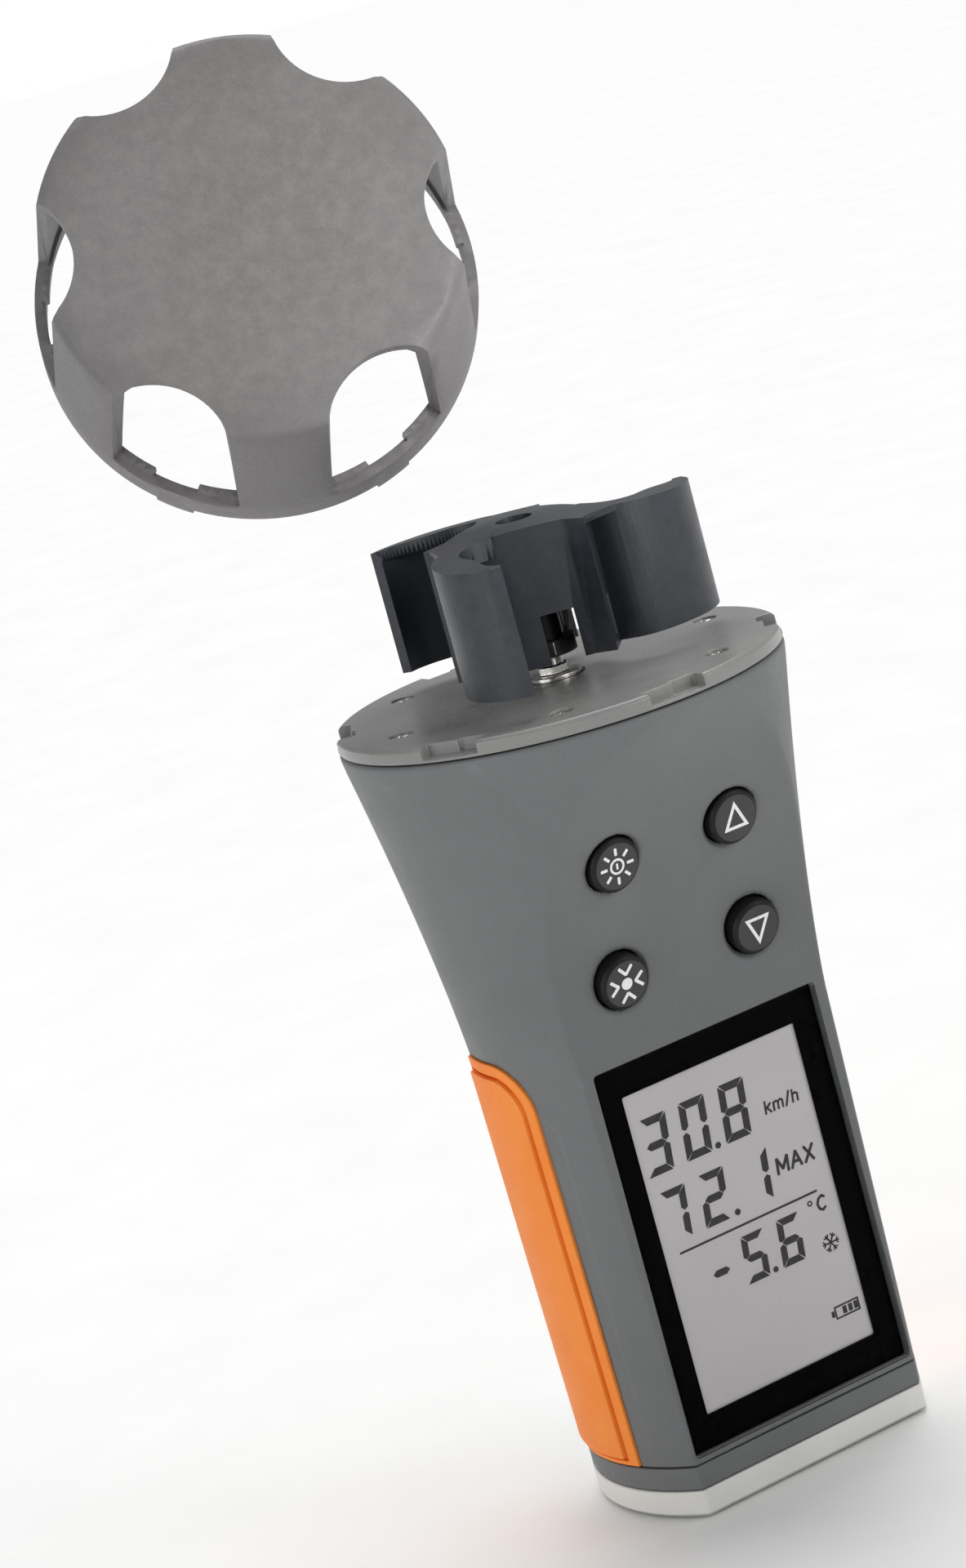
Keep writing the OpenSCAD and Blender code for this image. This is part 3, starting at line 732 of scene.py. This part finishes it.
# simple stroke letters in a box one unit high
GLYPH = {
    "k": (0.55, [[(0, 0), (0, 1)], [(0, 0.35), (0.5, 0.72)], [(0.16, 0.46), (0.52, 0)]]),
    "m": (0.9, [[(0, 0), (0, 0.7)], [(0, 0.6), (0.22, 0.7)], [(0.22, 0.7), (0.42, 0.58)], [(0.42, 0.58), (0.42, 0)], [(0.42, 0.6), (0.64, 0.7)], [(0.64, 0.7), (0.84, 0.58)], [(0.84, 0.58), (0.84, 0)]]),
    "/": (0.42, [[(0, -0.05), (0.36, 1.05)]]),
    "h": (0.52, [[(0, 0), (0, 1)], [(0, 0.58), (0.24, 0.7)], [(0.24, 0.7), (0.46, 0.58)], [(0.46, 0.58), (0.46, 0)]]),
    "M": (0.86, [[(0, 0), (0, 1)], [(0, 1), (0.39, 0.25)], [(0.39, 0.25), (0.78, 1)], [(0.78, 1), (0.78, 0)]]),
    "A": (0.82, [[(0, 0), (0.37, 1)], [(0.37, 1), (0.74, 0)], [(0.13, 0.36), (0.61, 0.36)]]),
    "X": (0.74, [[(0, 0), (0.66, 1)], [(0, 1), (0.66, 0)]]),
    "C": (0.7, [[(0.62, 0.84), (0.4, 1)], [(0.4, 1), (0.12, 0.84)], [(0.12, 0.84), (0, 0.5)], [(0, 0.5), (0.12, 0.16)], [(0.12, 0.16), (0.4, 0)], [(0.4, 0), (0.62, 0.16)]]),
}


def letters(bm, text, x, z, h, w, gap=0.2, slant=0.1, wide=1.0):
    step = 0
    for ch in text:
        adv, strokes = GLYPH[ch]
        for a, b in strokes:
            pa = (x + (a[0] * wide + slant * a[1]) * h, z + a[1] * h)
            pb = (x + (b[0] * wide + slant * b[1]) * h, z + b[1] * h)
            step = (step + 1) % 3
            prism(bm, bar(pa, pb, w), lcd_place, 0.0, 0.05 + 0.004 * step)
        x += (adv * wide + gap) * h


def display(bm):
    for ch, x in (("3", -15.1), ("0", -7.9), ("8", -0.5)):
        seg_digit(bm, ch, x, 53.2, 4.75, 9.1, 1.22)
    prism(bm, disc((-2.0, 53.65), 0.52, 20), lcd_place, 0, 0.06)
    for ch, x in (("7", -14.9), ("2", -7.7), ("1", 0.5)):
        seg_digit(bm, ch, x, 42.1, 4.6, 8.3, 1.18)
    prism(bm, disc((-1.7, 42.5), 0.52, 20), lcd_place, 0, 0.06)
    prism(bm, [(-13.3, 40.08), (12.8, 40.08), (12.8, 40.42), (-13.3, 40.42)], lcd_place, 0, 0.06)
    seg_digit(bm, "-", -9.6, 30.9, 4.2, 7.6, 1.12)
    for ch, x in (("5", -3.2), ("6", 3.6)):
        seg_digit(bm, ch, x, 30.9, 4.25, 7.6, 1.12)
    prism(bm, disc((2.2, 31.35), 0.48, 20), lcd_place, 0, 0.06)
    letters(bm, "km/h", 7.6, 55.0, 2.0, 0.34, 0.24)
    letters(bm, "MAX", 7.0, 45.2, 2.5, 0.48, 0.2)
    ring(bm, (11.0, 38.75), 0.24, 0.46, lcd_place, 0, 0.06, 20)
    letters(bm, "C", 12.2, 36.95, 2.3, 0.42)
    # frost mark: three crossing bars with short branches
    cx, cz = 12.9, 31.5
    for i, a in enumerate((0, 60, 120)):
        c, s = math.cos(math.radians(a)), math.sin(math.radians(a))
        prism(bm, bar((cx - 1.5 * c, cz - 1.5 * s), (cx + 1.5 * c, cz + 1.5 * s), 0.26), lcd_place, 0, 0.05 + 0.004 * i)
        for sg in (-1, 1):
            bx, bz = cx + sg * 0.95 * c, cz + sg * 0.95 * s
            for j, q in enumerate((-50, 50)):
                d = math.radians(a + q + (180 if sg < 0 else 0))
                prism(bm, bar((bx, bz), (bx + 0.62 * math.cos(d), bz + 0.62 * math.sin(d)), 0.2), lcd_place, 0, 0.063 + 0.004 * i)
    # battery: an outline with three cells and a nose
    outline(bm, [(10.4, 19.4), (15.1, 19.4), (15.1, 21.5), (10.4, 21.5)], 0.26, lcd_place, 0, 0.06)
    prism(bm, [(9.75, 19.95), (10.3, 19.95), (10.3, 20.95), (9.75, 20.95)], lcd_place, 0, 0.06)
    for x in (11.9, 13.0, 14.05):
        prism(bm, [(x, 19.85), (x + 0.72, 19.85), (x + 0.72, 21.05), (x, 21.05)], lcd_place, 0, 0.06)


marks("display_figures", "lcd_ink", "housing", display)


# ---------------------------------------------------------------- camera
a, e, roll = math.radians(-27.367), math.radians(11.895), math.radians(15.362)
b = Vector((math.sin(a) * math.cos(e), -math.cos(a) * math.cos(e), math.sin(e)))
r = Vector((math.cos(a), math.sin(a), 0))
u = b.cross(r)
c, s = math.cos(roll), math.sin(roll)
cx, cy = r * c - u * s, r * s + u * c
cam_data = bpy.data.cameras.new("camera")
cam_data.sensor_width = 36
cam_data.sensor_fit = "AUTO"
cam_data.lens = 97.78
cam_data.clip_start, cam_data.clip_end = 0.01, 50
cam = bpy.data.objects.new("camera", cam_data)
scene.collection.objects.link(cam)
cam.matrix_world = Matrix((
    (cx.x, cy.x, b.x, -0.30622),
    (cx.y, cy.y, b.y, -0.55887),
    (cx.z, cy.z, b.z, 0.24896),
    (0, 0, 0, 1),
))
scene.camera = cam

# ---------------------------------------------------------------- floor and light
bm = bmesh.new()
bmesh.ops.create_circle(bm, cap_ends=True, radius=9, segments=64)
fl = bpy.data.meshes.new("floor")
bm.to_mesh(fl)
bm.free()
fm = Mat("floor_paper")
fn = fm.noise(30, 4, 0.6)
fm.colour(fm.mix(fm.span(fn, 0.3, 0.7, 0.0, 1.0), lin(244, 244, 243), lin(248, 248, 247)))
fm.rough(fm.span(fn, 0.3, 0.7, 0.8, 0.9))
fm.set(Specular_IOR_Level=0.1)
fl.materials.append(fm.m)
floor = bpy.data.objects.new("floor", fl)
floor.location.z = -0.0003
scene.collection.objects.link(floor)

w = bpy.data.worlds.new("studio")
scene.world = w
w.use_nodes = True
wt = w.node_tree
bg = wt.nodes["Background"]
bg.inputs["Color"].default_value = (0.985, 0.99, 1.0, 1)
bg.inputs["Strength"].default_value = 0.34
bg2 = wt.nodes.new("ShaderNodeBackground")
bg2.inputs["Color"].default_value = (1, 1, 1, 1)
bg2.inputs["Strength"].default_value = 1.0
lp = wt.nodes.new("ShaderNodeLightPath")
mx = wt.nodes.new("ShaderNodeMixShader")
wt.links.new(lp.outputs["Is Camera Ray"], mx.inputs[0])
wt.links.new(bg.outputs[0], mx.inputs[1])
wt.links.new(bg2.outputs[0], mx.inputs[2])
wt.links.new(mx.outputs[0], wt.nodes["World Output"].inputs["Surface"])


def sun(name, towards, strength, spread, colour=(1, 1, 1)):
    d = bpy.data.lights.new(name, "SUN")
    d.energy = strength
    d.angle = math.radians(spread)
    d.color = colour
    o = bpy.data.objects.new(name, d)
    o.rotation_mode = "QUATERNION"
    o.rotation_quaternion = (-Vector(towards)).to_track_quat("-Z", "Y")
    scene.collection.objects.link(o)


sun("key", (0.75, -0.75, 0.55), 0.5, 40, (1, 0.995, 0.985))
sun("top", (0.25, 0.35, 0.95), 2.15, 50)
sun("left", (-0.95, -0.2, 0.1), 1.0, 40, (0.98, 0.99, 1))

# a small near panel that rakes the stored cap from below and to its right
d = bpy.data.lights.new("cap_panel", "AREA")
d.shape = "DISK"
d.size = 0.12
d.energy = 0.03
d.spread = math.radians(50)
o = bpy.data.objects.new("cap_panel", d)
o.location = (0.035, -0.15, 0.215)
o.rotation_mode = "QUATERNION"
o.rotation_quaternion = (Vector((-0.005, 0.02, 0.192)) - o.location).to_track_quat("-Z", "Y")
o.visible_camera = False
scene.collection.objects.link(o)

scene.view_settings.view_transform = "Standard"
scene.view_settings.look = "None"
scene.view_settings.exposure = 0
scene.view_settings.gamma = 1
